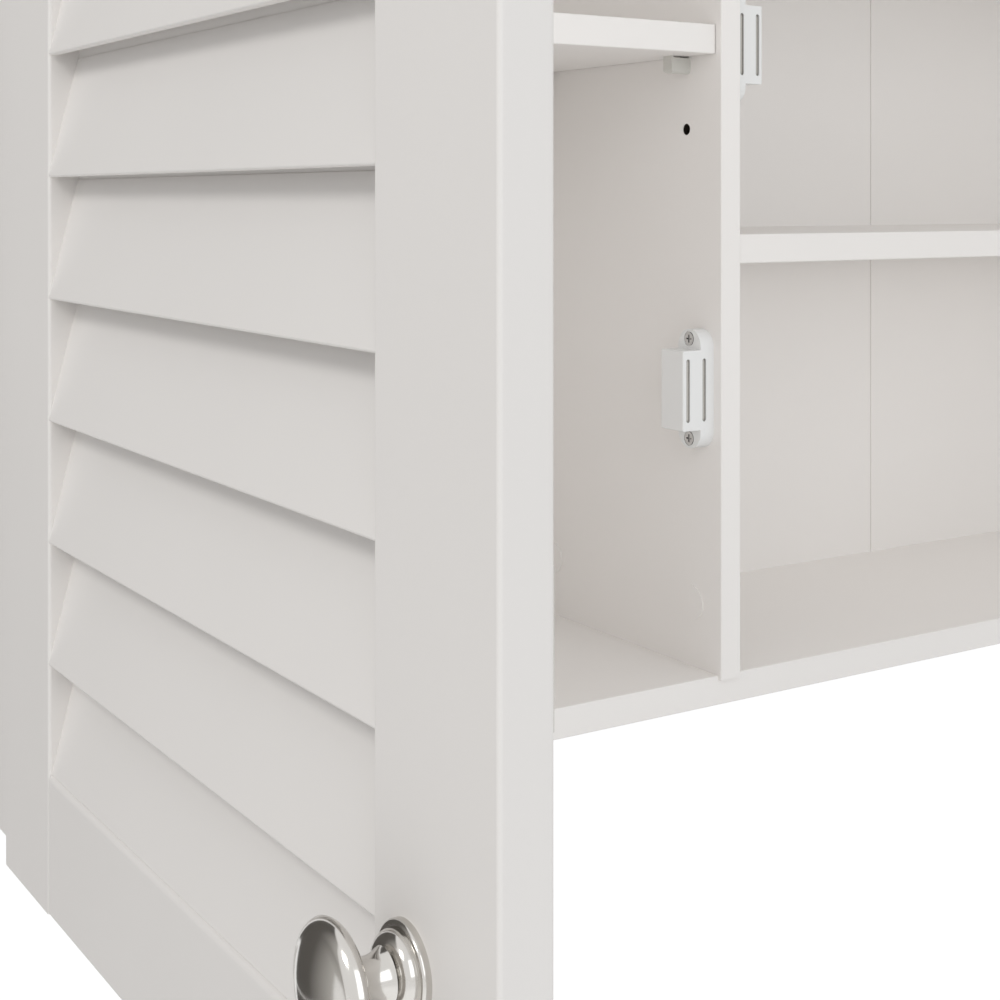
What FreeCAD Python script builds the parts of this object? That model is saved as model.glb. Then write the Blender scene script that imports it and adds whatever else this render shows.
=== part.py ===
"""Wall-hung bathroom mirror cabinet with a louvred door on the left and a framed mirror door on the right.

Sizes are millimetres. The model is laid out in cabinet measures: x from the left outer face, y from the
front edge of the sides towards the wall, z from the lower edge of the doors. Both doors are drawn closed and
then swung open to the rest pose, and everything is moved so that the origin lies midway between the two wall
screws, in the wall plane.
"""
import FreeCAD
import Part
import math
import os

# Carcass
WIDTH = 900.0
HEIGHT = 670.0
DEPTH = 175.0
BOARD = 15.0
CARCASS_DROP = 3.3
DIVIDER_LEFT = 353.5
DIVIDER_THICK = 12.8
HOUSING = 2.0
BOTTOM_SETBACK = 2.5
BACK_THICK = 3.0
BACK_REBATE = 7.0
BACK_JOINT = 643.0
JOINT_COVER = 20.0
JOINT_COVER_THICK = 0.8
JOINT_WEB = 1.2
EDGE_ROUND = 0.8

# Hanging rail and the wall screws that go through it
RAIL_TALL = 60.0
RAIL_THICK = 15.0
HANG_DROP = 40.0
WALL_HOLE_SPACING = 600.0
WALL_HOLE_RADIUS = 3.0

# Shelves and their pins
LEFT_SHELF_TOP = 343.0
LEFT_SHELF_SETBACK = 4.5
LEFT_SHELF_PLAY = 0.5
RIGHT_SHELF_TOPS = {"lower_right_shelf": 236.0, "upper_right_shelf": 455.0}
RIGHT_SHELF_SETBACK = 1.0
PIN_RADIUS = 3.0
PIN_PEG = 8.0
PIN_HOLE_DEPTH = 9.0
PIN_FROM_FRONT = 28.0
PIN_FROM_BACK = 18.0
PIN_PITCH = 32.0
PEG_BELOW_SHELF = 5.7
PADDLE_LONG = 12.5
PADDLE_WIDE = 7.0
PADDLE_TALL = 9.0
PADDLE_ROUND = 2.0
PADDLE_SLOT = 1.0
PADDLE_LAND = 1.2

# Knock-down fittings
CAM_RADIUS = 7.5
CAM_DEEP = 9.5
CAM_ABOVE = 45.0
CAM_FRONT = 23.5
CAM_BACK = 150.0
CAM_FROM_SIDE = 34.0
CAM_BOLT_RADIUS = 3.0
CAM_BOLT_IN_BOARD = 9.0
CAM_BOLT_PLAY = 0.3
CAP_RADIUS = 9.0
CAP_THICK = 0.5
CAP_CLEAR = 2.0
DOWEL_RADIUS = 4.0
DOWEL_HALF = 12.0
DOWEL_IN_SIDE = 9.0

# Magnetic catches
LEFT_CATCH_HEIGHT = 157.0
RIGHT_CATCH_HEIGHT = 334.0
CATCH_SETBACK = 6.0
CATCH_DEEP = 18.0
CATCH_LONG = 61.0
CATCH_EAR_THICK = 8.6
CATCH_BODY_TALL = 40.5
CATCH_OUT = 20.0
CATCH_SCREW_SPACING = 51.0
CATCH_SCREW_BACK = 9.4
CATCH_HEAD_RADIUS = 3.4
CATCH_HEAD_DEEP = 1.6
CATCH_HEAD_DISH = 0.5
CATCH_HEAD_PLAY = 0.4
CATCH_SHANK_RADIUS = 1.5
CATCH_SCREW_LONG = 14.0
POLE_OUT = (6.2, 16.7)
POLE_WIDE = 2.4
POLE_TALL = 32.0
POLE_DEEP = 13.0
POLE_SET_IN = 0.7
MAGNET_INSIDE = 1.5
MAGNET_TALL = 30.0
MAGNET_DEEP = 8.0

# Hinges
HINGE_TALL = 50.0
HINGE_FROM_END = 90.0
KNUCKLES = 6
KNUCKLE_GAP = 0.2
KNUCKLE_RADIUS = 2.5
KNUCKLE_CLEAR = 0.35
HINGE_PIN_RADIUS = 1.25
HINGE_PIN_CLEAR = 0.04
HINGE_INSET = 2.5
HINGE_FORWARD = 2.95
LEAF_THICK = 0.9
LEAF_REACH = 12.0
DOOR_LEAF_REACH = 21.0
LEAF_HOLE_PITCH = 34.0
HINGE_HEAD_RADIUS = 2.6
HINGE_HEAD_DEEP = 0.7
HINGE_SHANK_RADIUS = 1.4
HINGE_SCREW_LONG = 11.0

# Doors
DOOR_STANDOFF = 2.0
DOOR_THICK = 14.0
DOOR_REVEAL = 8.7
DOOR_GAP = 3.0
DOOR_ROUND = 1.2
STILE_WIDE = 53.7
BOTTOM_RAIL = 49.7
TOP_RAIL = 64.0
RAIL_ROUND = 2.5
SLATS = 13
SLAT_FIRST = 45.0
SLAT_PITCH = 43.35
SLAT_RISE = 42.5
SLAT_TILT = 14.0
SLAT_DEEP = 3.0
SLAT_TONGUE = 6.0
SLAT_ROUND = 0.7
LOUVRE_BACKING = 3.0
BACKING_TONGUE = 6.0
FRAME_DOWEL_RADIUS = 3.0
FRAME_DOWEL_HALF = 18.0

# Mirror door
MIRROR_STILE = 50.0
MIRROR_LIP = 5.0
MIRROR_REBATE = 8.0
MIRROR_THICK = 4.0
MIRROR_BACKING = 3.0
MIRROR_PLAY = 0.5

# Knobs and strike plates
KNOB_FROM_EDGE = 37.7
KNOB_HEIGHT = 83.0
KNOB_PROJECTION = 25.0
KNOB_HOLE_RADIUS = 2.2
KNOB_SCREW_RADIUS = 2.0
KNOB_SCREW_IN = 9.0
KNOB_SCREW_HEAD_RADIUS = 4.0
KNOB_SCREW_HEAD = 1.8
KNOB_SCREW_ROUND = 1.1
STRIKE_TALL = 44.0
STRIKE_PLATE_WIDE = 17.0
STRIKE_PLATE_THICK = 1.5
STRIKE_PAD_TALL = 36.0
STRIKE_PAD_WIDE = 10.8
STRIKE_CLEAR = 0.4

# Outline of a knob as pairs of radius and height above the door: foot, then arcs up to the rim of the dome
KNOB_FLANGE = 11.0
KNOB_ARCS = (
    ((11.0, 1.2), (10.7, 2.0), (9.9, 2.3)),
    ((9.3, 2.3), (8.6, 4.6), (6.3, 5.9)),
    ((6.3, 5.9), (5.1, 9.6), (6.0, 13.6)),
    ((6.0, 13.6), (8.2, 15.6), (11.2, 16.2)),
    ((11.2, 16.2), (14.4, 16.9), (15.4, 18.5)),
    ((15.4, 18.5), (14.8, 20.2), (12.6, 21.8)),
)

# Slots in screw heads
CROSS_WIDE = 0.8
CROSS_DEEP = 0.6
CROSS_REACH = 1.2

# Places worked out from the sizes above
RIGHT_IN = WIDTH - BOARD
TOP_UNDER = HEIGHT - BOARD
UNDERSIDE = -CARCASS_DROP
FLOOR_TOP = UNDERSIDE + BOARD
DIVIDER_RIGHT = DIVIDER_LEFT + DIVIDER_THICK
DIVIDER_MID = DIVIDER_LEFT + DIVIDER_THICK / 2
BACK_FACE = DEPTH - BACK_THICK
DOOR_BACK = -DOOR_STANDOFF
DOOR_FACE = -DOOR_STANDOFF - DOOR_THICK
LOUVRE_X = (DOOR_REVEAL, DIVIDER_MID - DOOR_GAP / 2)
MIRROR_X = (DIVIDER_MID + DOOR_GAP / 2, WIDTH - DOOR_REVEAL)
LOUVRE_AXIS_X = HINGE_INSET
MIRROR_AXIS_X = WIDTH - HINGE_INSET
HINGE_Y = -HINGE_FORWARD
LOUVRE_HINGES = (HINGE_FROM_END, HEIGHT - HINGE_FROM_END)
MIRROR_HINGES = (HINGE_FROM_END, HEIGHT / 2, HEIGHT - HINGE_FROM_END)
HANG_HEIGHT = HEIGHT - HANG_DROP
HINGE_SCREW = (HINGE_HEAD_RADIUS, HINGE_HEAD_DEEP, HINGE_SHANK_RADIUS, HINGE_SCREW_LONG)

X_DIR = FreeCAD.Vector(1, 0, 0)
Y_DIR = FreeCAD.Vector(0, 1, 0)
Z_DIR = FreeCAD.Vector(0, 0, 1)
nodes = {}


def block(x, y, z):
    """Box between the two values given for each direction."""
    corner = FreeCAD.Vector(min(x), min(y), min(z))
    return Part.makeBox(abs(x[1] - x[0]), abs(y[1] - y[0]), abs(z[1] - z[0]), corner)


def rod(start, direction, length, radius):
    """Round bar from a point along a direction."""
    return Part.makeCylinder(radius, length, FreeCAD.Vector(*start), direction)


def soften(shape, radius, wanted):
    """Rounds the edges whose middle point passes the test."""
    picked = [edge for edge in shape.Edges if wanted(edge.CenterOfMass)]
    return shape.makeFillet(radius, picked)


def near(value, target):
    return abs(value - target) < 0.01


def front_rounded(x, y, z, along):
    """Board whose two long front edges, along X or along Z, are rounded."""
    front = min(y)
    ends = z if along == "x" else x

    def on_long_front_edge(point):
        across = point.z if along == "x" else point.x
        return near(point.y, front) and (near(across, ends[0]) or near(across, ends[1]))

    return soften(block(x, y, z), EDGE_ROUND, on_long_front_edge)


def group(shapes):
    return Part.makeCompound(shapes)


def cut_all(shape, tools):
    """Takes every tool out of the shape."""
    return shape.cut(group(tools)) if tools else shape


def screw(point, into, head_radius, head_deep, shank_radius, length):
    """Countersunk-style screw: its flat head starts at the point, and the shank runs on into the board.

    Returns the screw with its cross recess, and the plain hole shape that it fills.
    """
    start = FreeCAD.Vector(*point)
    head = Part.makeCylinder(head_radius, head_deep, start, into)
    shank = Part.makeCylinder(shank_radius, length, start, into)
    plain = head.fuse(shank)
    long_side = head_radius * CROSS_REACH
    slots = []
    for across in (X_DIR, Y_DIR, Z_DIR):
        if abs(across.dot(into)) > 0.5:
            continue
        other = into.cross(across)
        corner = start - across * (long_side / 2) - other * (CROSS_WIDE / 2)
        outline = [
            corner,
            corner + across * long_side,
            corner + across * long_side + other * CROSS_WIDE,
            corner + other * CROSS_WIDE,
            corner,
        ]
        slots.append(Part.Face(Part.makePolygon(outline)).extrude(into * CROSS_DEEP))
    return plain.cut(slots[0].fuse(slots[1])), plain


def solids(shape):
    """One solid where there is one, or a group of separate solids."""
    found = shape.Solids
    return found[0] if len(found) == 1 else group(found)


# Boards of the carcass, before holes and housings

left_side = front_rounded((0, BOARD), (0, DEPTH), (UNDERSIDE, HEIGHT), "z")
right_side = front_rounded((RIGHT_IN, WIDTH), (0, DEPTH), (UNDERSIDE, HEIGHT), "z")
bottom_panel = front_rounded((BOARD, RIGHT_IN), (BOTTOM_SETBACK, DEPTH), (UNDERSIDE, FLOOR_TOP), "x")
top_panel = front_rounded((BOARD, RIGHT_IN), (BOTTOM_SETBACK, DEPTH), (TOP_UNDER, HEIGHT), "x")
divider = front_rounded(
    (DIVIDER_LEFT, DIVIDER_RIGHT), (0, BACK_FACE), (FLOOR_TOP - HOUSING, TOP_UNDER + HOUSING), "z"
)
bottom_panel = bottom_panel.cut(divider)
top_panel = top_panel.cut(divider)

# Back boards, in a rebate round the back of the carcass, and the strip that covers their joint

back_z = (FLOOR_TOP - BACK_REBATE, TOP_UNDER + BACK_REBATE)
back_space = block((BOARD - BACK_REBATE, RIGHT_IN + BACK_REBATE), (BACK_FACE, DEPTH), back_z)
left_side = left_side.cut(back_space)
right_side = right_side.cut(back_space)
bottom_panel = bottom_panel.cut(back_space)
top_panel = top_panel.cut(back_space)
web_x = (BACK_JOINT - JOINT_WEB / 2, BACK_JOINT + JOINT_WEB / 2)
back_left = block((BOARD - BACK_REBATE, web_x[0]), (BACK_FACE, DEPTH), back_z)
back_right = block((web_x[1], RIGHT_IN + BACK_REBATE), (BACK_FACE, DEPTH), back_z)
cover_x = (BACK_JOINT - JOINT_COVER / 2, BACK_JOINT + JOINT_COVER / 2)
cover_z = (FLOOR_TOP, TOP_UNDER)
joint_strip = block(cover_x, (BACK_FACE - JOINT_COVER_THICK, BACK_FACE), cover_z)
joint_strip = joint_strip.fuse(block(web_x, (BACK_FACE, DEPTH), cover_z)).removeSplitter()

# Hanging rail, with the wall screw holes through it and the back boards

rail_z = (TOP_UNDER - RAIL_TALL, TOP_UNDER)
hanging_rail = block((BOARD, RIGHT_IN), (BACK_FACE - RAIL_THICK, BACK_FACE), rail_z)
divider = divider.cut(hanging_rail)
joint_strip = joint_strip.cut(hanging_rail)
wall_holes = []
for side in (-1, 1):
    hole_x = WIDTH / 2 + side * WALL_HOLE_SPACING / 2
    wall_holes.append(rod((hole_x, 0, HANG_HEIGHT), Y_DIR, DEPTH, WALL_HOLE_RADIUS))
hanging_rail = cut_all(hanging_rail, wall_holes)
back_left = cut_all(back_left, wall_holes)
back_right = cut_all(back_right, wall_holes)

# Shelves: the left one rests on pins, the right ones are held by dowels

left_shelf = front_rounded(
    (BOARD + LEFT_SHELF_PLAY, DIVIDER_LEFT - LEFT_SHELF_PLAY),
    (LEFT_SHELF_SETBACK, BACK_FACE - LEFT_SHELF_PLAY),
    (LEFT_SHELF_TOP - BOARD, LEFT_SHELF_TOP),
    "x",
)
right_shelves = {}
for name, shelf_top in RIGHT_SHELF_TOPS.items():
    shelf = front_rounded(
        (DIVIDER_RIGHT, RIGHT_IN), (RIGHT_SHELF_SETBACK, BACK_FACE), (shelf_top - BOARD, shelf_top), "x"
    )
    right_shelves[name] = shelf.cut(joint_strip)

# Shelf pins: a round peg in the board and a paddle under the shelf, with a spare hole below

pins = []
pin_holes = []
shelf_under = LEFT_SHELF_TOP - BOARD
peg_z = shelf_under - PEG_BELOW_SHELF
for pin_y in (PIN_FROM_FRONT, BACK_FACE - PIN_FROM_BACK):
    for face_x, inward in ((BOARD, 1), (DIVIDER_LEFT, -1)):
        into_board = X_DIR * -inward
        for step in (-1, 0):
            hole = rod((face_x, pin_y, peg_z + step * PIN_PITCH), into_board, PIN_HOLE_DEPTH, PIN_RADIUS)
            pin_holes.append(hole)
        peg = rod((face_x, pin_y, peg_z), into_board, PIN_PEG, PIN_RADIUS)
        paddle_end = face_x + inward * PADDLE_LONG
        paddle_y = (pin_y - PADDLE_WIDE / 2, pin_y + PADDLE_WIDE / 2)
        paddle = block((face_x, paddle_end), paddle_y, (shelf_under - PADDLE_TALL, shelf_under))
        paddle = soften(
            paddle,
            PADDLE_ROUND,
            lambda p: near(p.z, shelf_under - PADDLE_TALL) and not near(p.x, face_x),
        )
        slot_x = (face_x + inward * PADDLE_LAND, paddle_end - inward * PADDLE_LAND)
        paddle = paddle.cut(block(slot_x, paddle_y, (shelf_under - PADDLE_SLOT, shelf_under)))
        pins.append(peg.fuse(paddle))
left_side = cut_all(left_side, pin_holes)
divider = cut_all(divider, pin_holes)

# Cam locks, their bolts and the round caps that cover them

cams = []
cam_bolts = []
cam_holes = []
caps = []


def cam_joint(centre, face_out, bolt_dir, bolt_end):
    """Cam disc let into a face, the bolt that it grips, the holes for both, and a cap on the face."""
    face_point = FreeCAD.Vector(*centre)
    cams.append(Part.makeCylinder(CAM_RADIUS, CAM_DEEP, face_point, face_out * -1))
    axis_point = face_point - face_out * (CAM_DEEP / 2)
    bolt_start = CAM_RADIUS + CAM_BOLT_PLAY
    start = axis_point + bolt_dir * bolt_start
    cam_bolts.append(Part.makeCylinder(CAM_BOLT_RADIUS, bolt_end - bolt_start, start, bolt_dir))
    cam_holes.append(Part.makeCylinder(CAM_BOLT_RADIUS, bolt_end, axis_point, bolt_dir).fuse(cams[-1]))
    caps.append(Part.makeCylinder(CAP_RADIUS, CAP_THICK, face_point, face_out))


clear_of_rail = BACK_FACE - RAIL_THICK - CAP_RADIUS - CAP_CLEAR
for cam_y in (CAM_FRONT, CAM_BACK):
    low_end = CAM_ABOVE - FLOOR_TOP + CAM_BOLT_IN_BOARD
    high_end = CAM_ABOVE - BOARD + CAM_BOLT_IN_BOARD
    high_y = min(cam_y, clear_of_rail)
    cam_joint((DIVIDER_LEFT, cam_y, CAM_ABOVE), X_DIR * -1, Z_DIR * -1, low_end)
    cam_joint((DIVIDER_LEFT, high_y, HEIGHT - CAM_ABOVE), X_DIR * -1, Z_DIR, high_end)
    for face_z, face_out in ((UNDERSIDE, Z_DIR * -1), (HEIGHT, Z_DIR)):
        reach = CAM_FROM_SIDE + CAM_BOLT_IN_BOARD
        left_cam = (BOARD + CAM_FROM_SIDE, cam_y, face_z)
        right_cam = (RIGHT_IN - CAM_FROM_SIDE, cam_y, face_z)
        cam_joint(left_cam, face_out, X_DIR * -1, reach)
        cam_joint(right_cam, face_out, X_DIR, reach)
divider = cut_all(divider, cam_holes)
bottom_panel = cut_all(bottom_panel, cam_holes)
top_panel = cut_all(top_panel, cam_holes)
left_side = cut_all(left_side, cam_holes)
right_side = cut_all(right_side, cam_holes)

# Dowels that locate the top and bottom in the sides and carry the right shelves

dowels = []


def dowel(face_x, y, z, board_side):
    """Dowel across the face at x, its short end in the upright board on the given side."""
    short_end = face_x + board_side * DOWEL_IN_SIDE
    long_end = face_x - board_side * DOWEL_HALF
    dowels.append(rod((min(short_end, long_end), y, z), X_DIR, abs(long_end - short_end), DOWEL_RADIUS))


for dowel_y in ((CAM_FRONT + CAM_BACK) / 2 - PIN_PITCH, (CAM_FRONT + CAM_BACK) / 2 + PIN_PITCH):
    for dowel_z in (UNDERSIDE + BOARD / 2, HEIGHT - BOARD / 2):
        dowel(BOARD, dowel_y, dowel_z, -1)
        dowel(RIGHT_IN, dowel_y, dowel_z, 1)
    for shelf_top in RIGHT_SHELF_TOPS.values():
        dowel(DIVIDER_RIGHT, dowel_y, shelf_top - BOARD / 2, -1)
        dowel(RIGHT_IN, dowel_y, shelf_top - BOARD / 2, 1)
left_side = cut_all(left_side, dowels)
right_side = cut_all(right_side, dowels)
bottom_panel = cut_all(bottom_panel, dowels)
top_panel = cut_all(top_panel, dowels)
divider = cut_all(divider, dowels)
right_shelves = {name: cut_all(shelf, dowels) for name, shelf in right_shelves.items()}

# Magnetic catches on both faces of the divider

catch_screws = []
catch_holes = []
poles = []
magnets = []


def round_ended(x, y, z):
    """Upright plate that faces the front, with half-round upper and lower ends."""
    radius = (x[1] - x[0]) / 2
    end_z = (z[0] + radius, z[1] - radius)
    made = block(x, y, end_z)
    for z_end in end_z:
        made = made.fuse(rod((x[0] + radius, y[0], z_end), Y_DIR, y[1] - y[0], radius))
    return made.removeSplitter()


def catch(face_x, out, height):
    """Catch housing: an oblong foot with round ears, a magnet box, and two slots for the pole plates."""
    front = CATCH_SETBACK
    ear_radius = CATCH_DEEP / 2
    ear_y = front + ear_radius
    half = CATCH_LONG / 2 - ear_radius
    foot_end = face_x + out * CATCH_EAR_THICK
    housing = block((face_x, foot_end), (front, front + CATCH_DEEP), (height - half, height + half))
    for side in (-1, 1):
        ear = rod((face_x, ear_y, height + side * half), X_DIR * out, CATCH_EAR_THICK, ear_radius)
        housing = housing.fuse(ear)
    body_end = face_x + out * CATCH_OUT
    body_z = (height - CATCH_BODY_TALL / 2, height + CATCH_BODY_TALL / 2)
    body = block((face_x, body_end), (front, front + CATCH_DEEP), body_z)
    body = soften(body, EDGE_ROUND, lambda p: near(p.x, body_end))
    housing = housing.fuse(body).removeSplitter()
    inside = []
    for distance in POLE_OUT:
        pole_mid = face_x + out * distance
        pole_x = (pole_mid - POLE_WIDE / 2, pole_mid + POLE_WIDE / 2)
        pole_z = (height - POLE_TALL / 2, height + POLE_TALL / 2)
        poles.append(round_ended(pole_x, (front + POLE_SET_IN, front + POLE_DEEP), pole_z))
        inside.append(round_ended(pole_x, (front, front + POLE_DEEP), pole_z))
    magnet_x = (
        face_x + out * (POLE_OUT[0] + POLE_WIDE / 2),
        face_x + out * (POLE_OUT[1] - POLE_WIDE / 2),
    )
    magnet_y = (front + MAGNET_INSIDE, front + MAGNET_INSIDE + MAGNET_DEEP)
    magnet = block(magnet_x, magnet_y, (height - MAGNET_TALL / 2, height + MAGNET_TALL / 2))
    magnets.append(magnet)
    inside.append(magnet)
    for side in (-1, 1):
        head = (foot_end, front + CATCH_SCREW_BACK, height + side * CATCH_SCREW_SPACING / 2)
        made, hole = screw(
            head, X_DIR * -out, CATCH_HEAD_RADIUS, CATCH_HEAD_DEEP, CATCH_SHANK_RADIUS, CATCH_SCREW_LONG
        )
        catch_screws.append(made)
        catch_holes.append(hole)
        inside.append(rod(head, X_DIR * -out, CATCH_HEAD_DISH, CATCH_HEAD_RADIUS + CATCH_HEAD_PLAY))
    return cut_all(housing, inside)


catch_left = catch(DIVIDER_LEFT, -1, LEFT_CATCH_HEIGHT)
catch_right = catch(DIVIDER_RIGHT, 1, RIGHT_CATCH_HEIGHT)
catch_left = cut_all(catch_left, catch_holes)
catch_right = cut_all(catch_right, catch_holes)
divider = cut_all(divider, catch_holes)

# Butt hinges

hinge_pins = []
fixed_screws = []
fixed_holes = []


def knuckle_spans(centre):
    """Height ranges of the knuckles of one hinge, fixed ones first in each pair."""
    pitch = HINGE_TALL / KNUCKLES
    low = centre - HINGE_TALL / 2
    trim = KNUCKLE_GAP / 2
    return [(low + i * pitch + trim, low + (i + 1) * pitch - trim) for i in range(KNUCKLES)]


def leaf(axis_x, inward, centre, own, leaf_y, reach):
    """One hinge leaf: a plate, joined to its own knuckles, each bored for the pin."""
    spans = knuckle_spans(centre)
    clear_x = axis_x + inward * (KNUCKLE_RADIUS + KNUCKLE_CLEAR)
    tip_x = axis_x + inward * reach
    plate_z = (centre - HINGE_TALL / 2, centre + HINGE_TALL / 2)
    made = block((clear_x, tip_x), leaf_y, plate_z)
    bores = []
    for index in own:
        low, high = spans[index]
        made = made.fuse(block((axis_x, clear_x), leaf_y, (low, high)))
        made = made.fuse(rod((axis_x, HINGE_Y, low), Z_DIR, high - low, KNUCKLE_RADIUS))
        bore_radius = HINGE_PIN_RADIUS + HINGE_PIN_CLEAR
        bores.append(rod((axis_x, HINGE_Y, low), Z_DIR, high - low, bore_radius))
    return cut_all(made, bores)


def hinge_set(axis_x, inward, heights):
    """The fixed and moving leaves, pins and screws of one door's hinges."""
    fixed = []
    moving = []
    moving_screws = []
    moving_holes = []
    local_fixed_holes = []
    for centre in heights:
        low = centre - HINGE_TALL / 2
        hinge_pins.append(rod((axis_x, HINGE_Y, low), Z_DIR, HINGE_TALL, HINGE_PIN_RADIUS))
        fixed_y = (-LEAF_THICK, 0)
        moving_y = (DOOR_BACK, DOOR_BACK + LEAF_THICK)
        fixed.append(leaf(axis_x, inward, centre, (0, 2, 4), fixed_y, LEAF_REACH))
        moving.append(leaf(axis_x, inward, centre, (1, 3, 5), moving_y, DOOR_LEAF_REACH))
        fixed_x = axis_x + inward * (KNUCKLE_RADIUS + LEAF_REACH) / 2
        moving_x = axis_x + inward * (DOOR_LEAF_REACH - 2 * HINGE_HEAD_RADIUS)
        for side in (-1, 1):
            z = centre + side * LEAF_HOLE_PITCH / 2
            made, hole = screw((fixed_x, fixed_y[0], z), Y_DIR, *HINGE_SCREW)
            fixed_screws.append(made)
            local_fixed_holes.append(hole)
            made, hole = screw((moving_x, moving_y[1], z), Y_DIR * -1, *HINGE_SCREW)
            moving_screws.append(made)
            moving_holes.append(hole)
    fixed_holes.extend(local_fixed_holes)
    fixed = [cut_all(shape, local_fixed_holes) for shape in fixed]
    moving = [cut_all(shape, moving_holes) for shape in moving]
    return group(fixed), group(moving), group(moving_screws), moving_holes


louvre_fixed, louvre_leaves, louvre_hinge_screws, louvre_holes = hinge_set(LOUVRE_AXIS_X, 1, LOUVRE_HINGES)
mirror_fixed, mirror_leaves, mirror_hinge_screws, mirror_holes = hinge_set(MIRROR_AXIS_X, -1, MIRROR_HINGES)
left_side = cut_all(left_side, fixed_holes)
right_side = cut_all(right_side, fixed_holes)


# Knob and strike plate, shared by both doors


def knob(x, z):
    """Turned knob on the door's face: a stepped rosette, a waisted neck and a domed mushroom head."""
    edges = []

    def point(place):
        radius, height = place
        return FreeCAD.Vector(radius, 0, height)

    def line(start, end):
        edges.append(Part.makeLine(point(start), point(end)))

    def arc(start, middle, end):
        edges.append(Part.Arc(point(start), point(middle), point(end)).toShape())

    rim = KNOB_ARCS[-1][-1]
    crown = (0, KNOB_PROJECTION)
    rise = crown[1] - rim[1]
    dome_radius = (rim[0] ** 2 + rise**2) / (2 * rise)
    half_rim = rim[0] / 2
    dome_middle = (half_rim, crown[1] - dome_radius + math.sqrt(dome_radius**2 - half_rim**2))
    last = (0, 0)
    for start, middle, end in ((last, last, (KNOB_FLANGE, 0)), *KNOB_ARCS):
        if start != last:
            line(last, start)
        if middle == start:
            line(start, end)
        else:
            arc(start, middle, end)
        last = end
    arc(rim, dome_middle, crown)
    line(crown, (0, 0))
    turned = Part.Face(Part.Wire(edges)).revolve(FreeCAD.Vector(0, 0, 0), Z_DIR, 360)
    turned = turned.cut(rod((0, 0, 0), Z_DIR, KNOB_SCREW_IN, KNOB_SCREW_RADIUS))
    turned.rotate(FreeCAD.Vector(0, 0, 0), X_DIR, 90)
    turned.translate(FreeCAD.Vector(x, DOOR_FACE, z))
    return turned


def knob_screw(x, z):
    """Screw from the back of the door into the knob, and its clearance hole in the door."""
    head = rod((x, DOOR_BACK, z), Y_DIR, KNOB_SCREW_HEAD, KNOB_SCREW_HEAD_RADIUS)
    head = soften(head, KNOB_SCREW_ROUND, lambda p: near(p.y, DOOR_BACK + KNOB_SCREW_HEAD))
    shank = rod((x, DOOR_BACK, z), Y_DIR * -1, DOOR_THICK + KNOB_SCREW_IN, KNOB_SCREW_RADIUS)
    hole = rod((x, DOOR_BACK, z), Y_DIR * -1, DOOR_THICK, KNOB_HOLE_RADIUS)
    return head.fuse(shank), hole


def strike(face_x, out, height):
    """Steel strike: a flat foot on the door's back, pressed up to a pad that meets the pole plates."""
    middle = face_x + out * (POLE_OUT[0] + POLE_OUT[1]) / 2
    foot_y = (DOOR_BACK, DOOR_BACK + STRIKE_PLATE_THICK)
    foot_x = (middle - STRIKE_PLATE_WIDE / 2, middle + STRIKE_PLATE_WIDE / 2)
    foot = block(foot_x, foot_y, (height - STRIKE_TALL / 2, height + STRIKE_TALL / 2))
    pad_x = (middle - STRIKE_PAD_WIDE / 2, middle + STRIKE_PAD_WIDE / 2)
    pad_y = (DOOR_BACK, CATCH_SETBACK - STRIKE_CLEAR)
    pad = block(pad_x, pad_y, (height - STRIKE_PAD_TALL / 2, height + STRIKE_PAD_TALL / 2))
    pad = soften(pad, EDGE_ROUND, lambda p: near(p.y, pad_y[1]))
    return foot.fuse(pad).removeSplitter()


def frame_member(x, z, rounded):
    """Door frame member through the whole thickness, with the named outer edges rounded."""
    made = block(x, (DOOR_FACE, DOOR_BACK), z)

    def outer_edge(point):
        on_face = near(point.y, DOOR_FACE) or near(point.y, DOOR_BACK)
        return on_face and rounded(point)

    return soften(made, DOOR_ROUND, outer_edge)


# Louvred door

louvre = {}
stile_inner = (LOUVRE_X[0] + STILE_WIDE, LOUVRE_X[1] - STILE_WIDE)
hinge_stile = frame_member((LOUVRE_X[0], stile_inner[0]), (0, HEIGHT), lambda p: near(p.z, HEIGHT / 2))
free_stile = frame_member((stile_inner[1], LOUVRE_X[1]), (0, HEIGHT), lambda p: near(p.z, HEIGHT / 2))
bottom_rail = frame_member(stile_inner, (0, BOTTOM_RAIL), lambda p: near(p.z, 0))
bottom_rail = soften(
    bottom_rail, RAIL_ROUND, lambda p: near(p.z, BOTTOM_RAIL) and near(p.y, DOOR_FACE)
)
top_rail = frame_member(stile_inner, (HEIGHT - TOP_RAIL, HEIGHT), lambda p: near(p.z, HEIGHT))


def slat(number):
    """Leaning slat: its lip is flush with the door's face, its top runs back behind the next slat's lip."""
    low = SLAT_FIRST + number * SLAT_PITCH
    run = SLAT_RISE * math.tan(math.radians(SLAT_TILT))
    corners = [
        (DOOR_FACE, low),
        (DOOR_FACE + SLAT_DEEP, low),
        (DOOR_FACE + SLAT_DEEP + run, low + SLAT_RISE),
        (DOOR_FACE + run, low + SLAT_RISE),
        (DOOR_FACE, low),
    ]
    start_x = stile_inner[0] - SLAT_TONGUE
    length = stile_inner[1] - stile_inner[0] + 2 * SLAT_TONGUE
    outline = Part.makePolygon([FreeCAD.Vector(start_x, y, z) for y, z in corners])
    made = Part.Face(outline).extrude(X_DIR * length)
    return soften(made, SLAT_ROUND, lambda p: near(p.y, DOOR_FACE) and near(p.z, low))


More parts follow.
